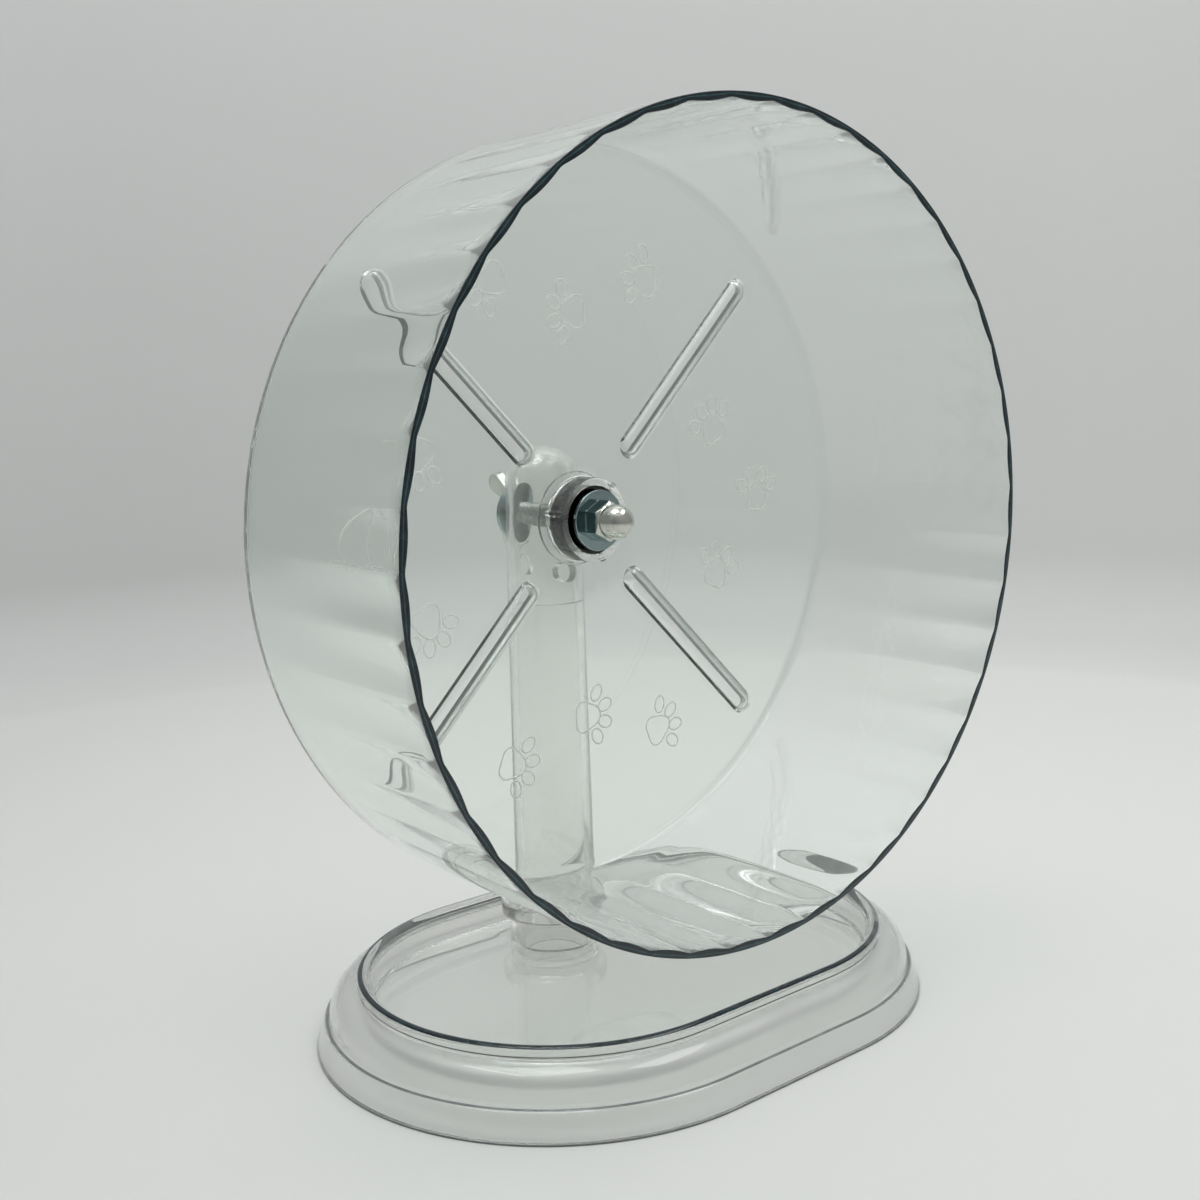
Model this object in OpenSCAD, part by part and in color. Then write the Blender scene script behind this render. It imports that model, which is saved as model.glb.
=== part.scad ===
// Clear hamster wheel on a post and tray base, in millimetres.
// The open front of the wheel faces -Y, the post stands behind it and +Z is up.
// The origin is the middle of the base's footprint on the floor.

/* [Wheel] */
// Outer radius of the open front rim
wheel_r = 105; // [70:1:150]
// Outer radius of the drum at its closed back
wheel_back_r = 102.4; // [65:0.1:145]
// Depth of the drum from front rim to back face
wheel_depth = 72.3; // [50:0.1:110]
// Thickness of the drum wall where two ripples meet
wheel_wall = 1.7; // [1:0.1:2.5]
// Thickness of the closed back disc
disc_t = 2.6; // [1.6:0.1:4]
// Radius of the inner cove between wall and disc
cove_r = 3.4; // [1:0.1:6]
// Radius of the rounded outer edge at the back
back_edge_r = 1; // [0.4:0.1:5]
// Free height between the wheel and the post's flange
wheel_lift = 10; // [5:1:30]

/* [Running ripples] */
// Number of ripples round the inside of the drum
ripple_count = 47; // [24:1:60]
// Height of a ripple at the front rim, from where it fades out towards the disc
ripple_h = 0.9; // [0.4:0.1:2]
// Angle of the first valley, from +X towards +Z
ripple_phase = 178.7; // [0:0.1:360]
// Straight steps across one ripple
ripple_steps = 6; // [4:2:8]

/* [Disc ribs] */
// Number of hollow ribs on the disc
rib_count = 4; // [3:1:8]
// Width of a rib at the disc
rib_w = 7.6; // [6:0.1:10]
// Height of a rib over the disc
rib_h = 2.7; // [1.6:0.1:3]
// Width of the groove behind a rib
groove_w = 4.3; // [2:0.1:5]
// Thickness left between a rib's crest and its groove
rib_skin = 1.7; // [1:0.1:2.4]
// Distance from the axle to the inner end of a rib
rib_start = 23.4; // [20:0.1:40]
// Clear distance between a rib's outer end and the ripples
rib_margin = 8.4; // [2:0.1:20]

/* [Hub] */
// Wall of the collar round the bearing
collar_wall = 2.2; // [1.5:0.1:4]
// Chamfer at the collar's mouth and at the boss's edge
collar_chamfer = 0.5; // [0.2:0.1:0.8]
// Extra radius of the boss behind the disc over the collar
boss_extra = 1.2; // [0.5:0.1:3]
// Height of the boss behind the disc
boss_h = 1.2; // [0.6:0.1:2]
// Thickness of the boss's floor behind the bearing
hub_floor = 3.5; // [2.5:0.5:5]
// Hole behind the bearing
hub_hole_d = 15; // [12:0.5:16]
// Number of small ribs along the collar
key_count = 3; // [2:1:6]
// Width of a collar rib
key_w = 1.8; // [1:0.1:3]
// How far a collar rib stands out
key_h = 1; // [0.5:0.1:2]
// Angle of the first collar rib, from +X towards +Z
key_phase = 48; // [0:1:360]

/* [Bearing] */
// Outside diameter of the ball bearing
bearing_od = 19; // [18:0.5:24]
// Width of the ball bearing
bearing_w = 6; // [5:0.5:8]
// Diameter of a ball
ball_d = 3.5; // [2.5:0.1:3.8]
// Number of balls
ball_count = 7; // [5:1:8]
// Thickness of an inner or outer ring on either side of its groove
ring_t = 2; // [1.5:0.1:2.4]
// Thickness of a shield
shield_t = 0.35; // [0.2:0.05:0.5]
// How deep a shield is let into the outer ring
shield_seat = 0.5; // [0.2:0.1:0.8]
// Depth of a shield below the bearing's face
shield_inset = 0.15; // [0.1:0.05:0.4]
// Radial thickness of the ball cage
cage_t = 1; // [0.6:0.1:1.4]

/* [Axle] */
// Diameter of the axle stud
axle_d = 6; // [5:0.5:8]
// Diameter of the large washers
washer_od = 17; // [16:0.5:19]
// Thickness of a large washer
washer_t = 1.6; // [1:0.1:2.5]
// Thickness of the shim between washer and bearing
shim_t = 1.2; // [0.6:0.1:3]
// Outside diameter of the shim and of the spacer sleeve
sleeve_od = 9; // [8.5:0.1:9.5]
// Width across flats of the cap nut
nut_af = 10; // [9:0.5:13]
// Height of the cap nut's hexagon
nut_hex_h = 5; // [4:0.5:7]
// Diameter of the round face that chamfers the hexagon's corners
nut_top_d = 9.8; // [9:0.1:12]
// Diameter of the cap nut's dome
nut_dome_d = 9.5; // [8.5:0.1:12]
// Whole height of the cap nut
nut_h = 12; // [11:0.5:15]
// Solid end of the cap nut beyond its thread
nut_end = 3; // [2:0.5:4]
// Length of the stud beyond the wing nut's hub
stud_tail = 0.5; // [0.5:0.5:10]

/* [Wing nut] */
// Diameter of the wing nut's hub at the washer
wing_hub_d = 12; // [10:0.5:15]
// Diameter of the hub at its free end
wing_hub_end_d = 9; // [9:0.5:13]
// Height of the hub
wing_hub_h = 5; // [5:0.5:10]
// Span over both wings
wing_span = 24; // [22:0.5:34]
// Height of the wings over the washer
wing_h = 10; // [9:0.5:18]
// Thickness of a wing
wing_t = 2.4; // [1.6:0.1:3.5]
// Clear height under a wing's foot, and depth of its root below the hub's end
wing_clear = 0.8; // [0.4:0.1:2]
// Radius of a wing's round tip
wing_tip_r = 3.6; // [3:0.1:5]
// Angle of the upper wing, from +X towards +Z
wing_angle = 105; // [0:5:175]

/* [Post] */
// Outside radius of the post at its domed top
post_top_r = 10.75; // [9.5:0.25:14]
// Outside radius of the post just above its flange
post_foot_r = 11.9; // [10.5:0.1:15]
// Thickness of the post's upper wall
post_wall = 2.4; // [1.8:0.1:3]
// How much the lower bore is wider than the upper one
bore_step = 0.6; // [0.2:0.1:1]
// Distance from the axle down to the step in the bore
bore_step_drop = 25; // [20:1:40]
// Height of the dome's centre over the axle
dome_rise = 9; // [6:0.5:20]
// Distance from the axle down to the spare axle hole
spare_drop = 15; // [12:0.5:18]
// Diameter of the spare axle hole
spare_hole_d = 6.4; // [5.5:0.1:8]
// Radius of the flange that seats on the socket
flange_r = 15.6; // [15:0.1:20]
// Thickness of the flange
flange_t = 4; // [2:0.5:6]
// Depth of the flat seat behind the spacer sleeve
front_seat = 1; // [0.6:0.1:1.4]
// Depth of the flat seat under the rear washer
rear_seat = 1.2; // [0.2:0.1:1.4]

/* [Base] */
// Length of the base at the floor
base_l = 182; // [150:1:260]
// Width of the base at the floor
base_w = 135.4; // [110:0.2:149]
// Wall of the base
base_wall = 2.2; // [1.6:0.1:3]
// How far the foot band leans in over its height
band_lean = 2.4; // [0.5:0.1:4]
// Height of the foot band
band_h = 7.3; // [5:0.1:12]
// Width of the ledge over the foot band
ledge_w = 1.3; // [0.6:0.1:3]
// Rise of the ledge
ledge_rise = 0.6; // [0.2:0.1:1]
// Width of the round shoulder
shoulder_w = 8.1; // [6:0.1:12]
// Height of the round shoulder
shoulder_h = 8.5; // [7:0.1:12]
// Radius of the bead round the rim
bead_r = 1.6; // [1.2:0.1:2.4]
// Height of the tray's floor
floor_z = 10; // [8.5:0.1:14]
// Draft of the tray's inner wall, from bead to floor
tray_draft = 0.9; // [0.3:0.1:2]
// Radius of the cove round the tray's floor
tray_cove = 1.5; // [0.5:0.1:3]
// Height of the socket's rim over the floor of the tray
socket_h = 8; // [4:0.5:20]
// Wall of the socket
socket_wall = 1.5; // [1.2:0.1:2.5]
// Clear distance between the socket and the tray's wall
socket_margin = 6; // [2:0.5:12]
// Height of the socket's closed bottom over the table
cup_clear = 2.3; // [0.5:0.1:4]
// Radius of the spigot at the post's lower end
spigot_r = 11.6; // [10:0.1:13]
// Wall of the spigot
spigot_wall = 2.2; // [1.6:0.1:3]

/* [Fits] */
// Radial clearance of parts that slide on the axle
axle_fit = 0.05; // [0.02:0.01:0.2]
// Radial clearance of the bearing in the collar
bearing_fit = 0.03; // [0.01:0.01:0.1]
// Clearance between a ball and what it runs in
ball_fit = 0.1; // [0.05:0.01:0.2]
// Clearance of the spigot in the socket
spigot_fit = 0.1; // [0.05:0.01:0.3]
// Running gap beside the bearing's shields and cage
shield_gap = 0.35; // [0.2:0.05:0.4]
// Gap between the turning collar and the fixed front washer
face_gap = 0.4; // [0.2:0.1:1]
// Gap between the back of the turning drum and the post
wheel_gap = 3.4; // [2.8:0.1:12]
// Gap round the sleeve and the washer in the post's flats
seat_gap = 0.8; // [0.5:0.1:3]

/* [Hidden] */
$fn = 96;
drum_facets = 288;
eps = 0.01;

// Base: outline radii at the round ends, from the floor up to the rim
foot_r = base_w / 2;
half_straight = (base_l - base_w) / 2;
ledge_r = foot_r - band_lean;
shoulder_foot_r = ledge_r - ledge_w;
shoulder_foot_z = band_h + ledge_rise;
shoulder_top_r = shoulder_foot_r - shoulder_w;
shoulder_top_z = shoulder_foot_z + shoulder_h;
bead_at_r = shoulder_top_r - bead_r * cos(45);
bead_at_z = shoulder_top_z + bead_r * sin(45);
tray_top_r = bead_at_r - bead_r;
tray_floor_r = tray_top_r - tray_draft;
arc_steps = 8;

// Socket and post heights
socket_bore_r = spigot_r + spigot_fit;
socket_r = socket_bore_r + socket_wall;
socket_top_z = floor_z + socket_h;
spigot_z = cup_clear + base_wall + spigot_fit;
flange_top_z = socket_top_z + flange_t;
axle_z = flange_top_z + wheel_lift + wheel_r;
dome_z = axle_z + dome_rise;
post_y = tray_floor_r - socket_margin - socket_r;

// Post radii at the axle and where the wheel's lowest edge passes
function post_r(z) = post_foot_r + (post_top_r - post_foot_r) * (z - flange_top_z) / (dome_z - flange_top_z);
post_axle_r = post_r(axle_z);
post_low_r = post_r(axle_z - wheel_back_r);

// Stack along the axle, from the post forwards and then backwards
axle_bore_r = axle_d / 2 + axle_fit;
seat_y = post_y - post_axle_r + front_seat;
wheel_back_y = post_y - post_low_r - wheel_gap;
disc_y = wheel_back_y - disc_t;
boss_y = wheel_back_y + boss_h;
wheel_front_y = wheel_back_y - wheel_depth;
bearing_back_y = boss_y - hub_floor;
bearing_y = bearing_back_y - bearing_w;
shim_y = bearing_y - shim_t;
washer_y = shim_y - washer_t;
collar_y = shim_y + face_gap;
rear_washer_y = post_y + post_axle_r - rear_seat;
wing_y = rear_washer_y + washer_t;
stud_y = washer_y - nut_h + nut_end;
stud_end_y = wing_y + wing_hub_h + stud_tail;

// Drum and hub radii
collar_r = bearing_od / 2 + bearing_fit + collar_wall;
boss_r = collar_r + boss_extra;
pitch_angle = 360 / ripple_count;
function drum_r(y) = wheel_back_r + (wheel_r - wheel_back_r) * (wheel_back_y - y) / wheel_depth;
rib_end = drum_r(disc_y) - wheel_wall - ripple_h - rib_margin;

// Bearing radii
ball_r = ball_d / 2;
bearing_in_r = axle_bore_r;
ball_pitch_r = (bearing_in_r + bearing_od / 2) / 2;
inner_land_r = bearing_in_r + ring_t;
outer_land_r = bearing_od / 2 - ring_t;
shield_seat_r = outer_land_r + shield_seat;
shield_y = bearing_w / 2 - shield_inset - shield_t;
cage_half_w = shield_y - shield_gap;

// Points of an arc round centre c, with radii rx and ry, from angle a to angle b
function arc(c, rx, ry, a, b, steps = arc_steps) =
    [for (i = [0:steps]) let (t = a + (b - a) * i / steps) [c[0] + rx * cos(t), c[1] + ry * sin(t)]];

// Height of a ripple at a share u of its width, zero in the valleys at both ends
function ripple(u) = ripple_h * (1 - pow(2 * u - 1, 2));

// Share of the ripples' full height at y, one at the front rim and none at the cove
function ripple_share(y) = max(0, (disc_y - cove_r - y) / (disc_y - cove_r - wheel_front_y));

// One ring of the drum's rippled inside, drawn in by inset
function ripple_ring(y, inset) = [
    for (i = [0:ripple_count - 1])
        for (j = [0:ripple_steps - 1])
            let (
                u = j / ripple_steps,
                a = -ripple_phase - pitch_angle * (i + u),
                r = drum_r(y) - wheel_wall - inset - ripple_share(y) * ripple(u)
            )
            [r * cos(a), r * sin(a), y]
];

// Places its children on the axle line at y, with their +Z pointing back along +Y
module on_axle(y) {
    translate([0, y, axle_z]) rotate([-90, 0, 0]) children();
}

// A ring along the axle between two radii
module axle_ring(y, outer_r, inner_r, length) {
    on_axle(y) difference() {
        cylinder(r = outer_r, h = length);
        translate([0, 0, -1]) cylinder(r = inner_r, h = length + 2);
    }
}

// The hollow inside of the drum, from in front of the rim to the disc
module drum_hollow() {
    rings = concat(
        ripple_ring(wheel_front_y - 1, 0),
        [for (a = [0:30:90]) each ripple_ring(disc_y - cove_r * (1 - sin(a)), cove_r * (1 - cos(a)))]
    );
    n = ripple_count * ripple_steps;
    ring_rows = len(rings) / n;
    sides = [
        for (k = [0:ring_rows - 2])
            for (i = [0:n - 1])
                let (a = k * n + i, b = k * n + (i + 1) % n)
                each [[a, b, b + n], [a, b + n, a + n]]
    ];
    front = [[for (i = [n - 1:-1:0]) i]];
    back = [[for (i = [0:n - 1]) (ring_rows - 1) * n + i]];
    translate([0, 0, axle_z]) rotate([-90, 0, 0])
        polyhedron(points = rings, faces = concat(sides, front, back), convexity = 4);
}

// Tapered cup of the drum with a rounded back edge
module drum_cup() {
    on_axle(0) rotate_extrude($fn = drum_facets) polygon(concat(
        [[0, wheel_front_y], [wheel_r, wheel_front_y]],
        arc([drum_r(wheel_back_y - back_edge_r) - back_edge_r, wheel_back_y - back_edge_r],
            back_edge_r, back_edge_r, 0, 90, 4),
        [[0, wheel_back_y]]
    ));
}

// A rod with round ends along a rib, its axis at z
module rib_rod(z, rod_r) {
    first = rib_start + rib_w / 2;
    last = rib_end - rib_w / 2;
    translate([first, 0, z]) rotate([0, 90, 0]) cylinder(r = rod_r, h = last - first);
    for (x = [first, last]) translate([x, 0, z]) sphere(r = rod_r);
}

// The raised front of a rib along +X, round through its crest and both edges of its foot
module disc_rib() {
    rod_r = (pow(rib_h, 2) + pow(rib_w / 2, 2)) / (2 * rib_h);
    intersection() {
        rib_rod(disc_y - rib_h + rod_r, rod_r);
        translate([0, -rib_w, disc_y - 2 * rib_h]) cube([wheel_r, 2 * rib_w, 2 * rib_h + disc_t / 2]);
    }
}

// The groove that hollows a rib from the back
module rib_groove() {
    groove_r = groove_w / 2;
    groove_z = disc_y - rib_h + rib_skin + groove_r;
    depth = wheel_back_y - groove_z + 1;
    first = rib_start + rib_w / 2;
    last = rib_end - rib_w / 2;
    rib_rod(groove_z, groove_r);
    translate([first, -groove_r, groove_z]) cube([last - first, groove_w, depth]);
    for (x = [first, last]) translate([x, 0, groove_z]) cylinder(r = groove_r, h = depth);
}

// Repeats its children for every rib
module each_rib() {
    for (i = [0:rib_count - 1]) rotate(180 / rib_count + 360 / rib_count * i) children();
}

// Collar and the boss behind the disc, before the bearing's seat is cut
module hub_collar() {
    rotate_extrude() polygon([
        [0, collar_y], [collar_r - collar_chamfer, collar_y], [collar_r, collar_y + collar_chamfer],
        [collar_r, disc_y + disc_t / 2], [boss_r, disc_y + disc_t / 2], [boss_r, boss_y - collar_chamfer],
        [boss_r - collar_chamfer, boss_y], [0, boss_y]
    ]);
    for (i = [0:key_count - 1])
        rotate(-key_phase - 360 / key_count * i)
            translate([collar_r + key_h - key_w / 2, 0, collar_y + key_w / 2 + collar_chamfer]) {
                sphere(r = key_w / 2);
                cylinder(r = key_w / 2, h = disc_y - collar_y - key_w / 2 - collar_chamfer);
            }
}

// Drum, disc, ribs and hub collar in one clear moulding
module wheel_drum() {
    color([0.8, 0.86, 0.84, 0.4]) difference() {
        union() {
            difference() {
                drum_cup();
                drum_hollow();
            }
            on_axle(0) {
                hub_collar();
                each_rib() disc_rib();
            }
        }
        on_axle(0) each_rib() rib_groove();
        on_axle(collar_y - 1) cylinder(r = bearing_od / 2 + bearing_fit, h = bearing_back_y - collar_y + 1);
        on_axle(bearing_back_y - 1) cylinder(d = hub_hole_d, h = hub_floor + 2);
    }
}

// Groove that the balls run in
module ball_groove() {
    rotate_extrude() translate([ball_pitch_r, 0]) circle(r = ball_r + ball_fit);
}

module bearing_outer_ring() {
    color([0.62, 0.64, 0.66]) on_axle(bearing_y + bearing_w / 2) difference() {
        translate([0, 0, -bearing_w / 2]) cylinder(d = bearing_od, h = bearing_w);
        translate([0, 0, -bearing_w]) cylinder(r = outer_land_r, h = 2 * bearing_w);
        ball_groove();
        for (side = [-1, 1])
            translate([0, 0, side * (shield_y + bearing_w / 2)])
                cylinder(r = shield_seat_r, h = bearing_w, center = true);
    }
}

module bearing_inner_ring() {
    color([0.66, 0.68, 0.7]) on_axle(bearing_y + bearing_w / 2) difference() {
        translate([0, 0, -bearing_w / 2]) cylinder(r = inner_land_r, h = bearing_w);
        translate([0, 0, -bearing_w]) cylinder(r = bearing_in_r, h = 2 * bearing_w);
        ball_groove();
    }
}

module bearing_balls() {
    color([0.78, 0.8, 0.82]) on_axle(bearing_y + bearing_w / 2)
        for (i = [0:ball_count - 1])
            rotate(360 / ball_count * i) translate([ball_pitch_r, 0, 0]) sphere(r = ball_r);
}

module bearing_cage() {
    color([0.7, 0.66, 0.55]) on_axle(bearing_y + bearing_w / 2) difference() {
        translate([0, 0, -cage_half_w]) cylinder(r = ball_pitch_r + cage_t / 2, h = 2 * cage_half_w);
        translate([0, 0, -bearing_w]) cylinder(r = ball_pitch_r - cage_t / 2, h = 2 * bearing_w);
        for (i = [0:ball_count - 1])
            rotate([0, 90, 360 / ball_count * i]) cylinder(r = ball_r + ball_fit, h = bearing_od / 2);
    }
}

// A thin shield held in the outer ring's seat
module shield(y) {
    axle_ring(y, shield_seat_r, inner_land_r + shield_gap, shield_t);
}

module bearing_front_shield() {
    color([0.55, 0.57, 0.6]) shield(bearing_y + shield_inset);
}

module bearing_rear_shield() {
    color([0.55, 0.57, 0.6]) shield(bearing_back_y - shield_inset - shield_t);
}

module axle_stud() {
    color([0.7, 0.72, 0.74]) on_axle(stud_y) cylinder(d = axle_d, h = stud_end_y - stud_y);
}

module shim_ring() {
    color([0.6, 0.62, 0.64]) axle_ring(shim_y, sleeve_od / 2, axle_bore_r, shim_t);
}

module spacer_sleeve() {
    color([0.72, 0.74, 0.74]) axle_ring(bearing_back_y, sleeve_od / 2, axle_bore_r, seat_y - bearing_back_y);
}

module front_washer() {
    color([0.4, 0.5, 0.52]) axle_ring(washer_y, washer_od / 2, axle_bore_r, washer_t);
}

module rear_washer() {
    color([0.4, 0.5, 0.52]) axle_ring(rear_washer_y, washer_od / 2, axle_bore_r, washer_t);
}

// Cap nut with a chamfered hexagon and a round dome towards the front
module cap_nut() {
    corner_r = nut_af / 2 / cos(30);
    color([0.8, 0.8, 0.78]) translate([0, washer_y, axle_z]) rotate([90, 0, 0]) difference() {
        union() {
            intersection() {
                cylinder(r = corner_r, h = nut_hex_h, $fn = 6);
                cylinder(r1 = nut_top_d / 2 + nut_hex_h, r2 = nut_top_d / 2, h = nut_hex_h);
            }
            cylinder(d = nut_dome_d, h = nut_h - nut_dome_d / 2);
            translate([0, 0, nut_h - nut_dome_d / 2]) sphere(d = nut_dome_d);
        }
        translate([0, 0, -1]) cylinder(r = axle_bore_r, h = nut_h - nut_end + axle_fit + 1);
    }
}

// One wing, drawn beside the hub with its round tip up and out and its root inside the hub
module wing_outline() {
    tip = [wing_span / 2 - wing_tip_r, wing_h - wing_tip_r];
    inside = wing_hub_end_d / 4 + axle_bore_r / 2;
    polygon(concat(
        [[inside, wing_clear], [wing_hub_d / 2, wing_clear]],
        arc(tip, wing_tip_r, wing_tip_r, -25, 115, 10),
        [[inside, wing_hub_h - wing_clear]]
    ));
}

module wing_nut() {
    color([0.74, 0.75, 0.74]) on_axle(wing_y) difference() {
        union() {
            cylinder(d1 = wing_hub_d, d2 = wing_hub_end_d, h = wing_hub_h);
            for (turn = [0, 180])
                rotate(turn - wing_angle) translate([0, wing_t / 2, 0]) rotate([90, 0, 0])
                    linear_extrude(height = wing_t) wing_outline();
        }
        translate([0, 0, -1]) cylinder(r = axle_bore_r, h = wing_h + 2);
    }
}

// Hollow post with a domed top, a flange, a spigot and two pairs of holes
module post() {
    bore_z = axle_z - bore_step_drop;
    upper_r = post_top_r - post_wall;
    lower_r = upper_r + bore_step;
    color([0.82, 0.87, 0.86, 0.4]) difference() {
        translate([0, post_y, 0]) {
            translate([0, 0, flange_top_z])
                cylinder(r1 = post_foot_r, r2 = post_top_r, h = dome_z - flange_top_z);
            translate([0, 0, dome_z]) sphere(r = post_top_r);
            translate([0, 0, socket_top_z]) cylinder(r = flange_r, h = flange_t);
            translate([0, 0, spigot_z]) cylinder(r = spigot_r, h = socket_top_z - spigot_z);
        }
        translate([0, post_y, 0]) {
            translate([0, 0, spigot_z - 1])
                cylinder(r1 = spigot_r - spigot_wall, r2 = lower_r, h = bore_z - spigot_z + 1);
            translate([0, 0, bore_z - eps]) cylinder(r = upper_r, h = dome_z - bore_z + eps);
            translate([0, 0, dome_z]) sphere(r = upper_r);
        }
        on_axle(post_y - 2 * post_foot_r) cylinder(r = axle_bore_r, h = 4 * post_foot_r);
        on_axle(post_y - 2 * post_foot_r) translate([0, spare_drop, 0])
            cylinder(d = spare_hole_d, h = 4 * post_foot_r);
        on_axle(seat_y - 2 * post_foot_r) cylinder(d = sleeve_od + 2 * seat_gap, h = 2 * post_foot_r);
        on_axle(rear_washer_y) cylinder(d = washer_od + 2 * seat_gap, h = 2 * post_foot_r);
    }
}

// Half of the base's section: foot band, ledge, round shoulder, bead, tray wall and floor
module base_section() {
    hollow_r = tray_floor_r + base_wall;
    polygon(concat(
        [[0, floor_z], [0, floor_z - base_wall], [hollow_r, floor_z - base_wall]],
        arc([shoulder_top_r, shoulder_foot_z], shoulder_w - base_wall, shoulder_h - base_wall, 90, 0),
        [[ledge_r - base_wall, band_h - base_wall / 2], [foot_r - base_wall, 0], [foot_r, 0], [ledge_r, band_h]],
        arc([shoulder_top_r, shoulder_foot_z], shoulder_w, shoulder_h, 0, 90),
        arc([bead_at_r, bead_at_z], bead_r, bead_r, -45, 180, 10),
        [[tray_floor_r, floor_z + tray_cove]],
        arc([tray_floor_r - tray_cove, floor_z + tray_cove], tray_cove, tray_cove, 0, -90, 4)
    ));
}

// Straight middle and two round ends of the tray
module tray_shell() {
    translate([-half_straight, 0, 0]) rotate([90, 0, 90]) linear_extrude(height = 2 * half_straight) {
        base_section();
        mirror([1, 0]) base_section();
    }
    translate([half_straight, 0, 0]) rotate(-90) rotate_extrude(angle = 180) base_section();
    translate([-half_straight, 0, 0]) rotate(90) rotate_extrude(angle = 180) base_section();
}

// Tray base with the socket that holds the post
module base_tray() {
    color([0.8, 0.86, 0.85, 0.4]) difference() {
        union() {
            tray_shell();
            translate([0, post_y, cup_clear]) cylinder(r = socket_r, h = socket_top_z - cup_clear);
        }
        translate([0, post_y, cup_clear + base_wall]) cylinder(r = socket_bore_r, h = socket_top_z);
    }
}

wheel_drum();
bearing_outer_ring();
bearing_inner_ring();
bearing_balls();
bearing_cage();
bearing_front_shield();
bearing_rear_shield();
axle_stud();
shim_ring();
spacer_sleeve();
front_washer();
cap_nut();
post();
rear_washer();
wing_nut();
base_tray();
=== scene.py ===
"""Looks of a clear plastic hamster wheel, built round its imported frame.

Lengths are in millimetres unless said otherwise.
"""

import math

import bmesh
import bpy
import numpy as np
from mathutils import Matrix, Vector


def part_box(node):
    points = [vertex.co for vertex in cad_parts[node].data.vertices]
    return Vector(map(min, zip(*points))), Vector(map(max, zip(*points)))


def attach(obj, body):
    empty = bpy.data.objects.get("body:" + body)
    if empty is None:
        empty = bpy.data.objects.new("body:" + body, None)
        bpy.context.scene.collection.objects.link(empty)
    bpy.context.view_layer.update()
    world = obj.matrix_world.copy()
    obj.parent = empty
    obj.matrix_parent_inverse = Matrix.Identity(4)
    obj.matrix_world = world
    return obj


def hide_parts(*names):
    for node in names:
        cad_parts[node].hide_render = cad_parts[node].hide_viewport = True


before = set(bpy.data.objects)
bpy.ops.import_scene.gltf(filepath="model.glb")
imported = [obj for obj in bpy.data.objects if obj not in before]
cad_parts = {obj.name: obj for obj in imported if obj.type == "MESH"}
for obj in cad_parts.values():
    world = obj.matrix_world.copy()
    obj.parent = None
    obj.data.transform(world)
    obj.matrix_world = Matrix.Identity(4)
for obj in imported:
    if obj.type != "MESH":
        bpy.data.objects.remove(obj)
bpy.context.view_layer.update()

MM = 0.001
SMOOTH_ANGLE, HARD_ANGLE = 28, 35
MERGE_METRES, FLAT_METRES = 1e-7, 1e-8


def box_mm(node):
    """Lowest and highest corner of a node, in millimetres."""
    low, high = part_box(node)
    return np.array(low) / MM, np.array(high) / MM


# Sizes read from the frame
drum_low, drum_high = box_mm("wheel_drum")
post_low, post_high = box_mm("post")
base_high = box_mm("base_tray")[1]
stud_low, stud_high = box_mm("axle_stud")
nut_low, nut_high = box_mm("cap_nut")
bearing_high = box_mm("bearing_outer_ring")[1]
front_washer_high = box_mm("front_washer")[1]
rear_washer_low, rear_washer_high = box_mm("rear_washer")
sleeve_high = box_mm("spacer_sleeve")[1]
AXLE_Z = (drum_low[2] + drum_high[2]) / 2
BOSS_H = 1.2  # the boss stands this far behind the disc
FRONT_Y, BACK_Y = drum_low[1], drum_high[1] - BOSS_H
FRONT_R = (drum_high[2] - drum_low[2]) / 2
POST_Y = (post_low[1] + post_high[1]) / 2
FOOT_R = base_high[1]
HALF_STRAIGHT = base_high[0] - FOOT_R

# Drum
BACK_R = 103.2
WALL = 1.4
RIPPLES = 47
RIPPLE_H = 0.72
RIPPLE_PHASE = math.radians(178.7)
RIPPLE_STEPS = 14
RIPPLE_FADE = 1.6
CREST_SHARE = 0.75
DISC_T = 2.6
COVE = 1.6
BACK_EDGE = 3.4
RIM_EDGE = 0.22
RIM_CORE_START, RIM_CORE_END = 0.5, 0.66
DISC_Y = BACK_Y - DISC_T
DISC_RINGS = (90, 70, 45, 25)

# Disc ribs and bearing collar
RIB_W, RIB_H = 7.6, 2.7
GROOVE_W, RIB_SKIN = 4.3, 1.7
RIB_START, RIB_MARGIN = 23.4, 8.4
RIB_PHASE, RIB_PITCH, RIBS = 45, 90, 4
RIB_SUNK, GROOVE_OVER = 0.6, 1
SIDE_FACING, TOP_FACING = 0.97, 0.3
BAR_STEPS, BAR_END_STEPS = 48, 10
COLLAR_WALL, SEAT_FIT = 2.2, 0.03
FACE_GAP = 0.4
HUB_HOLE_R = 7.5
BOSS_EXTRA = 1.2
BOSS_FILLET, BOSS_EDGE = 0.4, 0.5
SEAT_CHAMFER, COLLAR_EDGE, COLLAR_FILLET = 0.3, 0.5, 0.6
KEYS, KEY_W, KEY_H, KEY_PHASE = 3, 1.8, 1.0, math.radians(48)
KEY_START, KEY_SUNK = 0.5, 0.4
SEAT_R = bearing_high[0] + SEAT_FIT
COLLAR_R = SEAT_R + COLLAR_WALL
COLLAR_Y = front_washer_high[1] + FACE_GAP

# Etched trail of paw prints between the ribs
TRAIL_R, TRAIL_SWAY, PRINTS_PER_FIELD = 64.0, 7.0, 3
PAD_R, PAD_LOBES, PAD_LEAN = 4.4, 0.13, 0.1
TOE_REACH, TOE_LENGTH, TOE_WIDTH = 7.6, 2.5, 1.8
LINE_W, LINE_H = 0.26, 0.12
RIDGE = ((-1, -0.2), (-0.7, 0.7), (0, 1), (0.7, 0.7), (1, -0.2))
TOE_LEANS = (-57, -19, 19, 57)
PRINT_STEPS = 28

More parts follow.
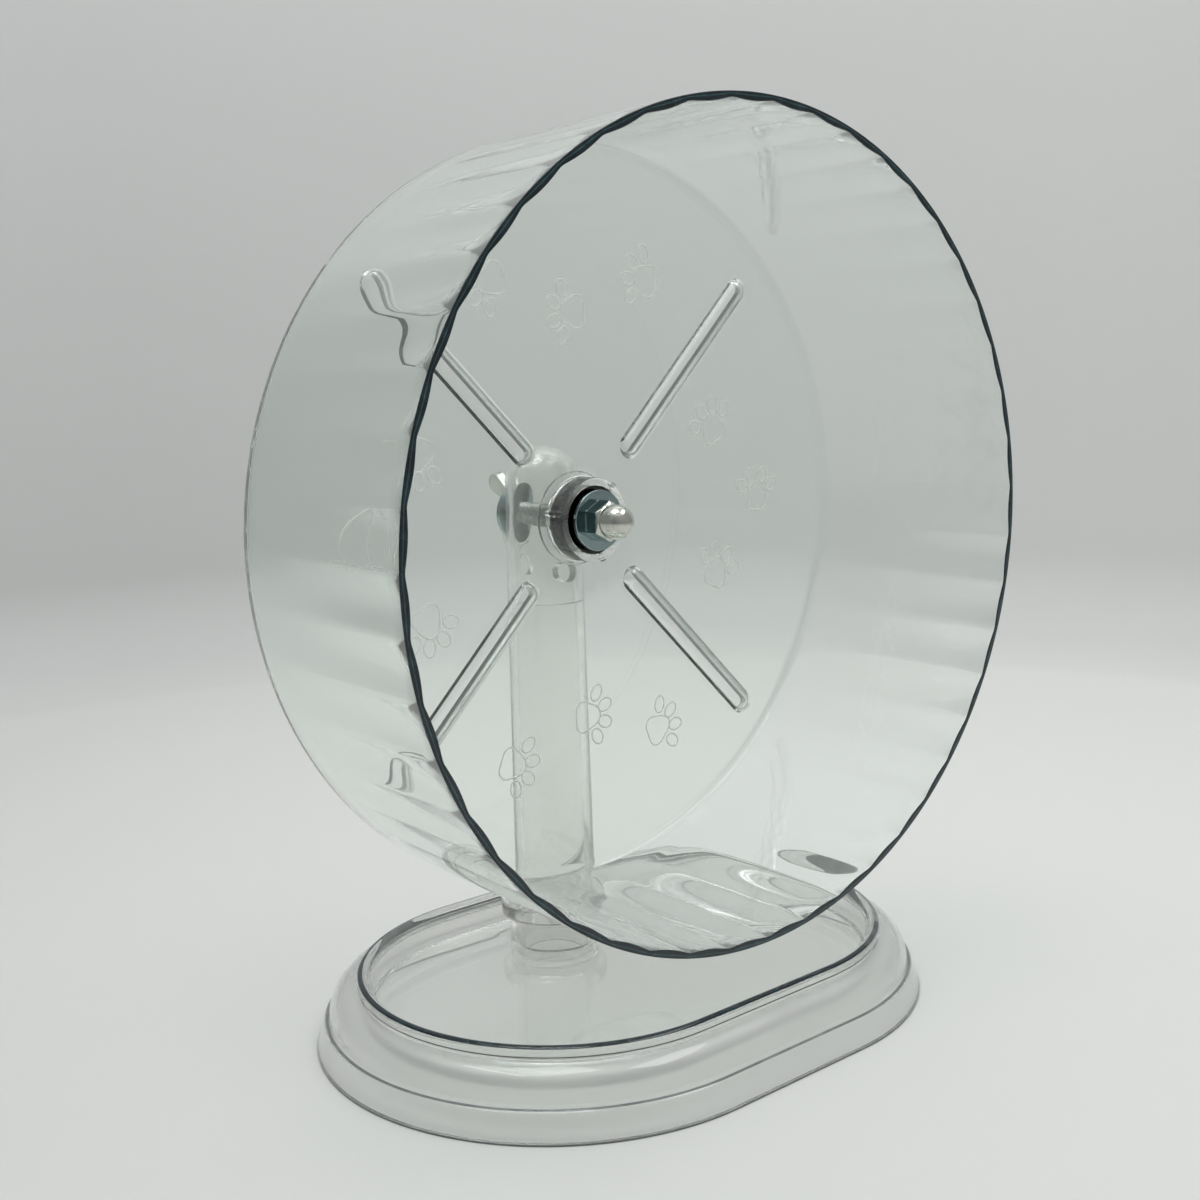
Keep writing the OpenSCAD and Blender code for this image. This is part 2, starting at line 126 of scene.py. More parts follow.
# Post
POST_TOP_R, POST_FOOT_R = 10.75, 11.9
POST_WALL, BORE_STEP, BORE_STEP_DROP = 2.4, 0.6, 25.0
SPIGOT_R, SPIGOT_WALL = 11.6, 2.2
FLANGE_R, FLANGE_T = 15.6, 4.0
SPARE_DROP, SPARE_R = 15.0, 3.2
AXLE_R, AXLE_FIT = 3.0, 0.05
DOME_Z = post_high[2] - POST_TOP_R
SEAT_MARGIN = 0.8
SPIGOT_EDGE, FLANGE_EDGE, FLANGE_TOP_EDGE, POST_FILLET = 0.3, 0.4, 0.6, 0.8
BORE_CHAMFER = 0.2
POST_COLUMNS = 160

# Base
BASE_WALL = 2.2
BAND_LEAN, BAND_H = 2.4, 7.3
LEDGE_W, LEDGE_RISE = 1.3, 0.6
SHOULDER_W, SHOULDER_H = 8.1, 8.5
BEAD_R = 1.6
BEAD_LINE_START, BEAD_LINE_END = 95, 45
CREASE_W, CREASE_H = 0.15, 0.25
LEDGE_EDGE = ((0.4, 0.12), (0.05, -0.15))
FOOT_CUT = ((0.12, 0.5), (0.25, 0.0))
FLOOR_RINGS = (10, 30)
FLOOR_Z, TRAY_DRAFT, TRAY_COVE = 10.0, 0.9, 1.5
SOCKET_WALL, SPIGOT_FIT, CUP_CLEAR, SOCKET_H = 1.5, 0.1, 2.3, 8.0
SOCKET_TOP = FLOOR_Z + SOCKET_H
CUP_EDGE, BORE_OVER, SOCKET_COLUMNS = 0.8, 5, 128

# The bead's line is painted shade, dark on this side of the base and fading to painted grey on the other
BEAD_DARK_SIDE = Vector((-0.654, -0.756, 0))
BEAD_DARK_FROM, BEAD_FADE_FROM = 12, -6

# Camera, as the photograph was taken
VIEW_AZIMUTH = math.radians(-40.158)
VIEW_ELEVATION = math.radians(9.157)
VIEW_ROLL = math.radians(-1.554)
VIEW_TARGET = (13.95, 24.15, 111.2)
VIEW_DISTANCE = 446.1
FOCAL_PIXELS, IMAGE_PIXELS = 1522.85, 1200
SENSOR_MM = 36.0

# Materials
PLASTIC_IOR = 1.5
WORN_SHARE = 0.86


# Node materials

def new_material(name):
    """An empty node material and its tree."""
    material = bpy.data.materials.new(name)
    material.use_nodes = True
    material.node_tree.nodes.clear()
    return material, material.node_tree


def add_node(tree, kind, **inputs):
    """A node of a kind with its input sockets set by name; spaces in names are underscores."""
    node = tree.nodes.new(kind)
    for name, value in inputs.items():
        node.inputs[name.replace("_", " ")].default_value = value
    return node


def noise(tree, scale, detail=4.0, distortion=0.0):
    """Noise over the object's own coordinates, in metres."""
    where = tree.nodes.new("ShaderNodeTexCoord")
    node = add_node(tree, "ShaderNodeTexNoise", Scale=scale, Detail=detail, Distortion=distortion)
    tree.links.new(where.outputs["Object"], node.inputs["Vector"])
    return node


def spread(tree, source, low, high, start=0.3, end=0.7):
    """Maps a factor between start and end onto low to high."""
    node = tree.nodes.new("ShaderNodeMapRange")
    for name, value in (("From Min", start), ("From Max", end), ("To Min", low), ("To Max", high)):
        node.inputs[name].default_value = value
    tree.links.new(source, node.inputs["Value"])
    return node.outputs["Result"]


def blend(tree, factor, first, second):
    """Mixes two colours, given as colours or as sockets, by a factor."""
    node = tree.nodes.new("ShaderNodeMix")
    node.data_type = "RGBA"
    sockets = {socket.identifier: socket for socket in node.inputs}
    tree.links.new(factor, sockets["Factor_Float"])
    for socket, colour in ((sockets["A_Color"], first), (sockets["B_Color"], second)):
        if isinstance(colour, tuple):
            socket.default_value = (*colour, 1)
        else:
            tree.links.new(colour, socket)
    return next(socket for socket in node.outputs if socket.identifier == "Result_Color")


def bump(tree, source, strength, distance):
    """A bump normal from a height."""
    node = add_node(tree, "ShaderNodeBump", Strength=strength, Distance=distance)
    tree.links.new(source, node.inputs["Height"])
    return node.outputs["Normal"]


def ramp(tree, source, stops):
    """Colours along a factor, from two stops of position and colour."""
    node = tree.nodes.new("ShaderNodeValToRGB")
    for element, (position, colour) in zip(node.color_ramp.elements, stops):
        element.position = position
        element.color = (*colour, 1)
    tree.links.new(source, node.inputs["Fac"])
    return node.outputs["Color"]


def show(tree, shader):
    """Sends a shader to the material's output."""
    out = tree.nodes.new("ShaderNodeOutputMaterial")
    tree.links.new(shader, out.inputs["Surface"])


def clear_plastic(name, tint, shade, rough_low=0.0, rough_high=0.05, clear=0.97):
    """Moulded clear plastic: true refraction, faint haze and waviness, and a light shadow."""
    material, tree = new_material(name)
    haze = noise(tree, scale=60.0, detail=6.0, distortion=0.4).outputs["Fac"]
    waves = noise(tree, scale=35.0, detail=1.0).outputs["Fac"]
    plastic = add_node(tree, "ShaderNodeBsdfPrincipled", Base_Color=(*tint, 1), IOR=PLASTIC_IOR,
                       Transmission_Weight=clear)
    rough = spread(tree, haze, rough_low, rough_high, start=0.45, end=0.75)
    tree.links.new(rough, plastic.inputs["Roughness"])
    tree.links.new(bump(tree, waves, strength=0.02, distance=0.002), plastic.inputs["Normal"])
    lamp_side = add_node(tree, "ShaderNodeBsdfTransparent", Color=(*shade, 1))
    rays = tree.nodes.new("ShaderNodeLightPath")
    surface = plastic.outputs["BSDF"]
    for ray in ("Is Diffuse Ray", "Is Shadow Ray"):
        mix = tree.nodes.new("ShaderNodeMixShader")
        tree.links.new(rays.outputs[ray], mix.inputs["Fac"])
        tree.links.new(surface, mix.inputs[1])
        tree.links.new(lamp_side.outputs["BSDF"], mix.inputs[2])
        surface = mix.outputs["Shader"]
    show(tree, surface)
    return material


def painted_edge_shade(name, dark, light):
    """Opaque colour with fine streaks, painted on an edge or inner wall of clear plastic where it traps light
    and reads dark: painted shade, and in lighter colours a painted reflection.
    """
    material, tree = new_material(name)
    streaks = noise(tree, scale=220.0, detail=3.0).outputs["Fac"]
    body = add_node(tree, "ShaderNodeBsdfPrincipled", Roughness=0.12, IOR=PLASTIC_IOR, Coat_Weight=0.1,
                    Coat_Roughness=0.04)
    tree.links.new(ramp(tree, streaks, ((0.45, dark), (0.8, light))), body.inputs["Base Color"])
    show(tree, body.outputs["BSDF"])
    return material


def metal(name, colour, rough_low, rough_high):
    """Metal with fine rubbed marks in its colour, roughness and relief."""
    material, tree = new_material(name)
    marks = noise(tree, scale=400.0, detail=5.0).outputs["Fac"]
    worn = [WORN_SHARE * c for c in colour]
    body = add_node(tree, "ShaderNodeBsdfPrincipled", Metallic=1.0)
    tree.links.new(ramp(tree, marks, ((0.3, worn), (0.7, colour))), body.inputs["Base Color"])
    tree.links.new(spread(tree, marks, rough_low, rough_high), body.inputs["Roughness"])
    tree.links.new(bump(tree, marks, strength=0.03, distance=0.0002), body.inputs["Normal"])
    show(tree, body.outputs["BSDF"])
    return material


WALL_CLEAR = clear_plastic("clear_wall", (0.957, 0.982, 0.967), (0.945, 0.957, 0.95))
DISC_CLEAR = clear_plastic("clear_disc", (0.955, 1.0, 0.968), (0.93, 0.96, 0.945), clear=0.955)
STAND_TINT, STAND_SHADE = (0.965, 0.965, 0.957), (0.93, 0.932, 0.928)
STAND_CLEAR = clear_plastic("clear_stand", STAND_TINT, STAND_SHADE, clear=0.94)
STAND_INSIDE = clear_plastic("clear_stand_inside", STAND_TINT, STAND_SHADE, 0.28, 0.42, clear=0.94)
ETCHED = clear_plastic("etched_line", (0.93, 0.96, 0.94), (0.93, 0.95, 0.94), 0.4, 0.6, clear=0.45)
# Painted shade: the drum's rim and the middle of the base's bead are opaque near-black teal where the clear
# plastic reads dark.
RIM_PAINTED_SHADE = painted_edge_shade("painted_edge_shade", (0.002, 0.009, 0.014), (0.015, 0.04, 0.052))
# Painted reflection: a lighter teal line along the middle of the rim's painted shade.
RIM_CORE_PAINTED_REFLECTION = painted_edge_shade("rim_core_painted_reflection", (0.02, 0.06, 0.07), (0.06, 0.13, 0.14))
SEAT_SHADE = painted_edge_shade("seat_shade", (0.01, 0.012, 0.011), (0.12, 0.11, 0.104))
GROOVE_SHADE = painted_edge_shade("groove_shade", (0.015, 0.018, 0.018), (0.07, 0.076, 0.076))
# Painted shade, lighter: the bead's line where it fades from dark to grey.
BEAD_PAINTED_HALF_SHADE = painted_edge_shade("bead_painted_half_shade", (0.04, 0.055, 0.06), (0.11, 0.13, 0.135))
# Painted highlight: whiter, less clear plastic on the groove's top lightens the rib's middle stripe.
GROOVE_PAINTED_HIGHLIGHT = clear_plastic("groove_painted_highlight", (0.97, 0.985, 0.98), (0.93, 0.95, 0.945), clear=0.84)
# Painted shade: grey lines along the base's foot, the shoulder's crease and the bead, standing in for contact
# shadow and dark refraction.
PAINTED_LINE_SHADE = painted_edge_shade("painted_line_shade", (0.17, 0.18, 0.18), (0.27, 0.28, 0.28))
NUT_STEEL = metal("polished_steel", (0.66, 0.66, 0.61), 0.03, 0.07)
# Painted reflection: dark teal metal on the nut's hexagon flats for the dark surroundings they mirror.
HEX_PAINTED_REFLECTION = metal("hexagon_painted_reflection", (0.14, 0.21, 0.21), 0.03, 0.09)
# Partly painted reflection: the washers' steel colour is darkened and tinted teal for the dark teal
# surroundings they mirror.
WASHER_STEEL_AND_REFLECTION = metal("mirror_washer", (0.34, 0.43, 0.44), 0.02, 0.06)
STUD_STEEL = metal("stud_steel", (0.34, 0.35, 0.34), 0.2, 0.34)
ZINC_STEEL = metal("zinc_steel", (0.66, 0.66, 0.62), 0.16, 0.28)
BEARING_STEEL = metal("bearing_steel", (0.06, 0.058, 0.054), 0.1, 0.2)
SHEET_STEEL = metal("pressed_steel", (0.07, 0.07, 0.066), 0.2, 0.32)


# Mesh helpers

def arc(centre, rx, ry, start, end, steps):
    """Points of an elliptic arc, with angles in degrees."""
    angles = np.radians(np.linspace(start, end, steps + 1))
    return [(centre[0] + rx * math.cos(a), centre[1] + ry * math.sin(a)) for a in angles]


def bend(centre, radius, start, end, steps):
    """Points of a round arc, with angles in degrees."""
    return arc(centre, radius, radius, start, end, steps)


def circle(steps):
    """Angles once round."""
    return np.linspace(0, 2 * math.pi, steps, endpoint=False)


def link_mesh(name, mesh, materials):
    """An object for a mesh, with its materials in order."""
    piece = bpy.data.objects.new(name, mesh)
    bpy.context.scene.collection.objects.link(piece)
    for material in materials:
        mesh.materials.append(material)
    return piece


def ring_mesh(name, rings, materials, band_slots=None, closed=True, caps=False, sharp=SMOOTH_ANGLE):
    """A smooth mesh over rings of points; closed joins the last ring to the first, caps fill both ends."""
    rings = np.asarray(rings, float)
    rows, columns = rings.shape[:2]
    bands = rows if closed else rows - 1
    nxt = (np.arange(columns) + 1) % columns
    faces = []
    slots = []
    for i in range(bands):
        a = i * columns + np.arange(columns)
        b = ((i + 1) % rows) * columns + np.arange(columns)
        faces += np.c_[a, a[nxt], b[nxt], b].tolist()
        slots += [band_slots[i] if band_slots else 0] * columns
    if caps:
        faces += [list(range(columns))[::-1], list(range((rows - 1) * columns, rows * columns))]
        slots += [0, 0]
    mesh = bpy.data.meshes.new(name)
    mesh.from_pydata((rings.reshape(-1, 3) * MM).tolist(), [], faces)
    mesh.polygons.foreach_set("material_index", slots)
    piece = link_mesh(name, mesh, materials)
    settle(piece, sharp)
    return piece


def settle(piece, sharp):
    """Merges doubled points, turns the faces outwards and shades smooth up to an angle in degrees."""
    mesh = piece.data
    work = bmesh.new()
    work.from_mesh(mesh)
    bmesh.ops.remove_doubles(work, verts=work.verts, dist=MERGE_METRES)
    bmesh.ops.dissolve_degenerate(work, edges=work.edges, dist=FLAT_METRES)
    bmesh.ops.recalc_face_normals(work, faces=work.faces)
    work.to_mesh(mesh)
    work.free()
    mesh.polygons.foreach_set("use_smooth", [True] * len(mesh.polygons))
    mesh.set_sharp_from_angle(angle=math.radians(sharp))
    mesh.update()


def round_axle(profile, steps, ripples):
    """Rings about the axle for (radius, y) points, each with its own inward waves."""
    angles = circle(steps)
    rings = []
    for (radius, y), waves in zip(profile, ripples):
        r = radius - waves
        rings.append(np.c_[r * np.cos(angles), np.full(steps, y), AXLE_Z + r * np.sin(angles)])
    return rings


def round_post(profile, steps):
    """Rings about the post's upright axis for (radius, z) points."""
    angles = circle(steps)
    return [np.c_[r * np.cos(angles), POST_Y + r * np.sin(angles), np.full(steps, z)] for r, z in profile]


def round_base(profile, arc_steps, straight_steps):
    """Rings round the base's oval for (distance from its middle line, z) points."""
    quarter = math.pi / 2
    angles = np.concatenate([
        np.full(straight_steps, -quarter), np.linspace(-quarter, quarter, arc_steps, endpoint=False),
        np.full(straight_steps, quarter), np.linspace(quarter, 3 * quarter, arc_steps, endpoint=False)])
    run = np.linspace(-HALF_STRAIGHT, HALF_STRAIGHT, straight_steps, endpoint=False)
    along = np.concatenate([run, np.full(arc_steps, HALF_STRAIGHT), -run, np.full(arc_steps, -HALF_STRAIGHT)])
    level = np.ones(len(angles))
    return [np.c_[along + r * np.cos(angles), r * np.sin(angles), z * level] for r, z in profile]


def carve(piece, tool, operation):
    """Unites a piece with a tool or cuts the tool away, and removes the tool."""
    step = piece.modifiers.new(operation, "BOOLEAN")
    step.operation = operation
    step.solver = "EXACT"
    step.object = tool
    bpy.context.view_layer.update()
    mesh = bpy.data.meshes.new_from_object(piece.evaluated_get(bpy.context.evaluated_depsgraph_get()))
    piece.modifiers.clear()
    old = piece.data
    piece.data = mesh
    bpy.data.meshes.remove(old)
    bpy.data.objects.remove(tool)
    settle(piece, SMOOTH_ANGLE)


def joined(name, pieces):
    """Several pieces as one."""
    work = bmesh.new()
    for piece in pieces:
        work.from_mesh(piece.data)
    mesh = bpy.data.meshes.new(name)
    work.to_mesh(mesh)
    work.free()
    both = link_mesh(name, mesh, list(pieces[0].data.materials))
    for piece in pieces:
        bpy.data.objects.remove(piece)
    return both


def rod(name, start, end, radius, materials, steps=48, domes=False):
    """A round rod between two points, flat or with domed ends."""
    start, end = Vector(start), Vector(end)
    length = (end - start).length
    turn = (end - start).to_track_quat("Z", "Y").to_matrix()
    if domes:
        profile = bend((0, 0), radius, -90, 0, 8) + bend((0, length), radius, 0, 90, 8)
    else:
        profile = [(0, 0), (radius, 0), (radius, length), (0, length)]
    angles = circle(steps)
    rings = []
    for r, z in profile:
        ring = np.c_[r * np.cos(angles), r * np.sin(angles), np.full(steps, z)]
        rings.append(ring @ np.array(turn).T + np.array(start))
    return ring_mesh(name, rings, materials, closed=False)


def place(piece, body, slot, *nodes):
    """Rides a piece on a body and lets it stand for CAD nodes; the slot is not used."""
    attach(piece, body)
    if nodes:
        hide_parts(*nodes)
    return piece


# The wheel

ON_WALL, ON_DISC, ON_RIM, ON_CORE_REFLECTION, ON_SEAT, ON_GROOVE_SIDE, ON_GROOVE_TOP = range(7)
DRUM_FINISHES = [WALL_CLEAR, DISC_CLEAR, RIM_PAINTED_SHADE, RIM_CORE_PAINTED_REFLECTION, SEAT_SHADE, GROOVE_SHADE, GROOVE_PAINTED_HIGHLIGHT]


def drum_r(y):
    """Outer radius of the tapered drum at y."""
    return BACK_R + (FRONT_R - BACK_R) * (BACK_Y - y) / (BACK_Y - FRONT_Y)


def drum_section():
    """(radius, y, ripple share, finish after the point) once round the drum's section."""
    boss_r, boss_y = COLLAR_R + BOSS_EXTRA, BACK_Y + BOSS_H
    bearing_back = bearing_high[1]
    rim_y, bend_y, cove_y = FRONT_Y + RIM_EDGE, BACK_Y - BACK_EDGE, DISC_Y - COVE
    out = []

    def inner(y):
        return drum_r(y) - WALL

    def fade(y):
        return ((cove_y - y) / (cove_y - FRONT_Y)) ** RIPPLE_FADE

    def add(points, share=0.0, finish=ON_WALL):
        for i, (r, y) in enumerate(points):
            out.append((r, y, share if np.isscalar(share) else share[i], finish))

    add(bend((FRONT_R - RIM_EDGE, rim_y), RIM_EDGE, -90, -20, 3), finish=ON_RIM)
    add([(drum_r(y), y) for y in np.linspace(rim_y, bend_y, 8)])
    add(bend((drum_r(bend_y) - BACK_EDGE, bend_y), BACK_EDGE, 15, 90, 5), finish=ON_DISC)
    add([(r, BACK_Y) for r in DISC_RINGS], finish=ON_DISC)
    add(bend((boss_r + BOSS_FILLET, BACK_Y + BOSS_FILLET), BOSS_FILLET, -90, -180, 4))
    add(bend((boss_r - BOSS_EDGE, boss_y - BOSS_EDGE), BOSS_EDGE, 0, 90, 4))
    add([(HUB_HOLE_R, boss_y), (HUB_HOLE_R, bearing_back)])
    add([(SEAT_R, bearing_back)], finish=ON_SEAT)
    add([(SEAT_R, COLLAR_Y + SEAT_CHAMFER), (SEAT_R + SEAT_CHAMFER, COLLAR_Y)])
    add(bend((COLLAR_R - COLLAR_EDGE, COLLAR_Y + COLLAR_EDGE), COLLAR_EDGE, -90, 0, 4))
    add(bend((COLLAR_R + COLLAR_FILLET, DISC_Y - COLLAR_FILLET), COLLAR_FILLET, 180, 90, 4), finish=ON_DISC)
    add([(r, DISC_Y) for r in DISC_RINGS[::-1]], finish=ON_DISC)
    add(bend((inner(cove_y) - COVE, cove_y), COVE, 90, 0, 6))
    wall_y = np.linspace(cove_y, rim_y, 12)[1:]
    add([(inner(y), y) for y in wall_y], share=[fade(y) for y in wall_y])
    add(bend((inner(FRONT_Y) + RIM_EDGE, rim_y), RIM_EDGE, 200, 270, 3), share=1.0, finish=ON_RIM)
    # The rim's end face is painted shade with a band of painted reflection across its middle.
    for part, finish in ((RIM_CORE_START, ON_CORE_REFLECTION), (RIM_CORE_END, ON_RIM)):
        add([(inner(FRONT_Y) + part * WALL, FRONT_Y)], share=1 - part, finish=finish)
    return out


def ripple_waves(columns):
    """Inward height of the ripples round the drum, with sharp valleys between round crests."""
    share = np.mod((circle(columns) - RIPPLE_PHASE) * RIPPLES / (2 * math.pi) + 1e-9, 1.0)
    crest, wave = 1 - (2 * share - 1) ** 2, np.sin(math.pi * share) ** 2
    return RIPPLE_H * (CREST_SHARE * crest + (1 - CREST_SHARE) * wave)


def disc_bar(name, angle, radius, axis_y, foot_y):
    """A round-topped bar with round ends and a flat foot, along a radius of the disc."""
    first = RIB_START + RIB_W / 2
    last = drum_r(DISC_Y) - WALL - RIPPLE_H - RIB_MARGIN - RIB_W / 2
    profile = ([(first + x, share) for x, share in arc((0, 0), radius, 1, 180, 90, BAR_END_STEPS)]
               + [(last + x, share) for x, share in arc((0, 0), radius, 1, 90, 0, BAR_END_STEPS)])
    along = np.array([math.cos(angle), 0, math.sin(angle)])
    across = np.array([-math.sin(angle), 0, math.cos(angle)])
    turn = circle(BAR_STEPS)
    rings = []
    for x, share in profile:
        side = radius * share * np.cos(turn)
        depth = np.where(np.sin(turn) >= 0, axis_y - radius * share * np.sin(turn), foot_y)
        bar = np.outer(np.full(BAR_STEPS, x), along) + np.outer(side, across)
        rings.append(bar + np.outer(depth, (0, 1, 0)) + np.array([0, 0, AXLE_Z]))
    return ring_mesh(name, rings, DRUM_FINISHES, [ON_DISC] * len(rings), closed=False)


def disc_rib(angle):
    """The raised front of a rib, round through its crest and both edges of its foot."""
    radius = (RIB_H ** 2 + (RIB_W / 2) ** 2) / (2 * RIB_H)
    return disc_bar("rib", angle, radius, DISC_Y - RIB_H + radius, DISC_Y + RIB_SUNK * DISC_T)


def rib_groove(angle):
    """The groove that hollows a rib from the back; its upright sides get painted shade and its top a whitish
    haze that paints a highlight.
    """
    radius = GROOVE_W / 2
    groove = disc_bar("groove", angle, radius, DISC_Y - RIB_H + RIB_SKIN + radius, BACK_Y + GROOVE_OVER)
    across = Vector((-math.sin(angle), 0, math.cos(angle)))
    for face in groove.data.polygons:
        if abs(face.normal.dot(across)) > SIDE_FACING:
            face.material_index = ON_GROOVE_SIDE
        elif face.normal.y < -TOP_FACING:
            face.material_index = ON_GROOVE_TOP
    return groove


def collar_key(angle):
    """A small round rib along the bearing collar."""
    radius = KEY_W / 2
    reach = COLLAR_R + KEY_H - radius
    x, z = reach * math.cos(angle), AXLE_Z + reach * math.sin(angle)
    start, end = (x, COLLAR_Y + KEY_START + radius, z), (x, DISC_Y + KEY_SUNK, z)
    return rod("key", start, end, radius, DRUM_FINISHES, steps=24, domes=True)


def make_drum():
    """The drum with its ribs and collar as one clear moulding."""
    section = drum_section()
    columns = RIPPLES * RIPPLE_STEPS
    waves = ripple_waves(columns)
    rings = round_axle([s[:2] for s in section], columns, [s[2] * waves for s in section])
    drum = ring_mesh("wheel_drum_clear", rings, DRUM_FINISHES, [s[3] for s in section])
    rib_angles = [math.radians(RIB_PHASE + RIB_PITCH * i) for i in range(RIBS)]
    keys = [collar_key(KEY_PHASE + 2 * math.pi * i / KEYS) for i in range(KEYS)]
    carve(drum, joined("extras", [disc_rib(angle) for angle in rib_angles] + keys), "UNION")
    carve(drum, joined("grooves", [rib_groove(angle) for angle in rib_angles]), "DIFFERENCE")
    return place(drum, "wheel", "clear_plastic", "wheel_drum")


def etched_line(path):
    """A thin low ridge along a closed path of (x, z) points on the disc's front."""
    path = np.asarray(path)
    run = np.roll(path, -1, 0) - np.roll(path, 1, 0)
    side = np.c_[run[:, 1], -run[:, 0]] / np.linalg.norm(run, axis=1)[:, None]
    rings = []
    for point, out in zip(path, side):
        flat = [point + w * LINE_W * out for w, h in RIDGE]
        rings.append([(x, DISC_Y - h * LINE_H, AXLE_Z + z) for (x, z), (w, h) in zip(flat, RIDGE)])
    return ring_mesh("line", rings, [ETCHED], sharp=60)


def paw_print(angle, radius):
    """Outlines of one pad and four toes that walk round the axle at a radius."""
    ahead = np.array([-math.sin(angle), math.cos(angle)])
    out = np.array([math.cos(angle), math.sin(angle)])
    turn = circle(PRINT_STEPS)
    pad = PAD_R * (1 + PAD_LOBES * np.cos(3 * turn)) * (1 + PAD_LEAN * np.cos(turn))
    shapes = [np.c_[pad * np.cos(turn), pad * np.sin(turn)]]
    for lean in np.radians(TOE_LEANS):
        x, y = TOE_LENGTH * np.cos(turn) + TOE_REACH, TOE_WIDTH * np.sin(turn)
        shapes.append(np.c_[x * math.cos(lean) - y * math.sin(lean), x * math.sin(lean) + y * math.cos(lean)])
    return [etched_line(radius * out + shape[:, :1] * ahead + shape[:, 1:] * out) for shape in shapes]


def make_trail():
    """Etched paw prints round the disc, left and right in turn, in the four fields between the ribs."""
    lines = []
    for field in range(RIBS):
        for i in range(PRINTS_PER_FIELD):
            step = field * PRINTS_PER_FIELD + i
            angle = math.radians(RIB_PHASE + RIB_PITCH * (field + (i + 1) / (PRINTS_PER_FIELD + 1)))
            lines += paw_print(angle, TRAIL_R + TRAIL_SWAY * (-1) ** step)
    return place(joined("etched_trail", lines), "wheel", "clear_plastic")


make_drum()
make_trail()


# The post

def make_post():
    """Hollow domed post with its holes and seats cut."""
    bore_z = AXLE_Z - BORE_STEP_DROP
    upper_r = POST_TOP_R - POST_WALL
    foot_z, flange_z, top_z = post_low[2], SOCKET_TOP, SOCKET_TOP + FLANGE_T
    profile = ([(SPIGOT_R - SPIGOT_EDGE, foot_z), (SPIGOT_R, foot_z + SPIGOT_EDGE), (SPIGOT_R, flange_z)]
               + bend((FLANGE_R - FLANGE_EDGE, flange_z + FLANGE_EDGE), FLANGE_EDGE, -90, 0, 4)
               + bend((FLANGE_R - FLANGE_TOP_EDGE, top_z - FLANGE_TOP_EDGE), FLANGE_TOP_EDGE, 0, 90, 5)
               + bend((POST_FOOT_R + POST_FILLET, top_z + POST_FILLET), POST_FILLET, -90, -180, 5)
               + [(POST_TOP_R, DOME_Z)] + bend((0, DOME_Z), POST_TOP_R, 0, 90, 20)[1:]
               + bend((0, DOME_Z), upper_r, 90, 0, 16)
               + [(upper_r, bore_z + BORE_CHAMFER), (upper_r + BORE_CHAMFER, bore_z),
                  (upper_r + BORE_STEP, bore_z), (SPIGOT_R - SPIGOT_WALL, foot_z)])
    post = ring_mesh("post_clear", round_post(profile, POST_COLUMNS), [STAND_CLEAR])
    reach = 2 * FLANGE_R
    near, far = POST_Y - reach, POST_Y + reach
    spare_z = AXLE_Z - SPARE_DROP

    def drill(name, start_y, end_y, z, radius):
        return rod(name, (0, start_y, z), (0, end_y, z), radius, [STAND_CLEAR])

    holes = [drill("hole", near, far, AXLE_Z, AXLE_R + AXLE_FIT), drill("hole", near, far, spare_z, SPARE_R)]
    carve(post, joined("holes", holes), "DIFFERENCE")
    seats = [drill("seat", near, sleeve_high[1], AXLE_Z, sleeve_high[0] + SEAT_MARGIN),
             drill("seat", rear_washer_low[1], far, AXLE_Z, rear_washer_high[0] + SEAT_MARGIN)]
    carve(post, joined("seats", seats), "DIFFERENCE")
    return place(post, "stand", "clear_plastic", "post")


make_post()


# The base

ON_STAND, ON_BEAD, ON_LINE, ON_INSIDE, ON_FADE = range(5)
BASE_FINISHES = [STAND_CLEAR, RIM_PAINTED_SHADE, PAINTED_LINE_SHADE, STAND_INSIDE, BEAD_PAINTED_HALF_SHADE]


def base_section():
    """(distance, z, finish after the point) from the tray's floor over the rim to the hollow underside."""
    ledge_r = FOOT_R - BAND_LEAN
    shoulder_foot = (ledge_r - LEDGE_W, BAND_H + LEDGE_RISE)
    shoulder_top = (shoulder_foot[0] - SHOULDER_W, shoulder_foot[1] + SHOULDER_H)
    lean = math.radians(45)
    bead = (shoulder_top[0] - BEAD_R * math.cos(lean), shoulder_top[1] + BEAD_R * math.sin(lean))
    tray_floor = bead[0] - BEAD_R - TRAY_DRAFT
    under_z = FLOOR_Z - BASE_WALL
    centre = (shoulder_top[0], shoulder_foot[1])
    out = []

    def add(points, finish=ON_STAND):
        out.extend((r, z, finish) for r, z in points)

    add([(r, FLOOR_Z) for r in FLOOR_RINGS])
    add(bend((tray_floor - TRAY_COVE, FLOOR_Z + TRAY_COVE), TRAY_COVE, -90, 0, 6))
    add(bend(bead, BEAD_R, 180, BEAD_LINE_START + 2, 6))
    add(bend(bead, BEAD_R, BEAD_LINE_START, BEAD_LINE_END, 10), finish=ON_BEAD)
    add(bend(bead, BEAD_R, BEAD_LINE_END - 3, -25, 6))
    # ON_LINE points start grey lines of painted shade on the bead, the shoulder's crease and the foot's
    # bottom edge.
    add(bend(bead, BEAD_R, -28, -45, 2), finish=ON_LINE)
    add(arc(centre, SHOULDER_W, SHOULDER_H, 89, 2, 22))
    add([(shoulder_foot[0] + CREASE_W, shoulder_foot[1] - CREASE_H)], finish=ON_LINE)
    add([(ledge_r - w, BAND_H + h) for w, h in LEDGE_EDGE])
    add([(FOOT_R - w, z) for w, z in FOOT_CUT], finish=ON_LINE)
    add([(FOOT_R - BASE_WALL, 0.0), (ledge_r - BASE_WALL, BAND_H - BASE_WALL / 2)], finish=ON_INSIDE)
    add(arc(centre, SHOULDER_W - BASE_WALL, SHOULDER_H - BASE_WALL, 0, 90, 14), finish=ON_INSIDE)
    add([(tray_floor + BASE_WALL, under_z)] + [(r, under_z) for r in FLOOR_RINGS[::-1]])
    return out


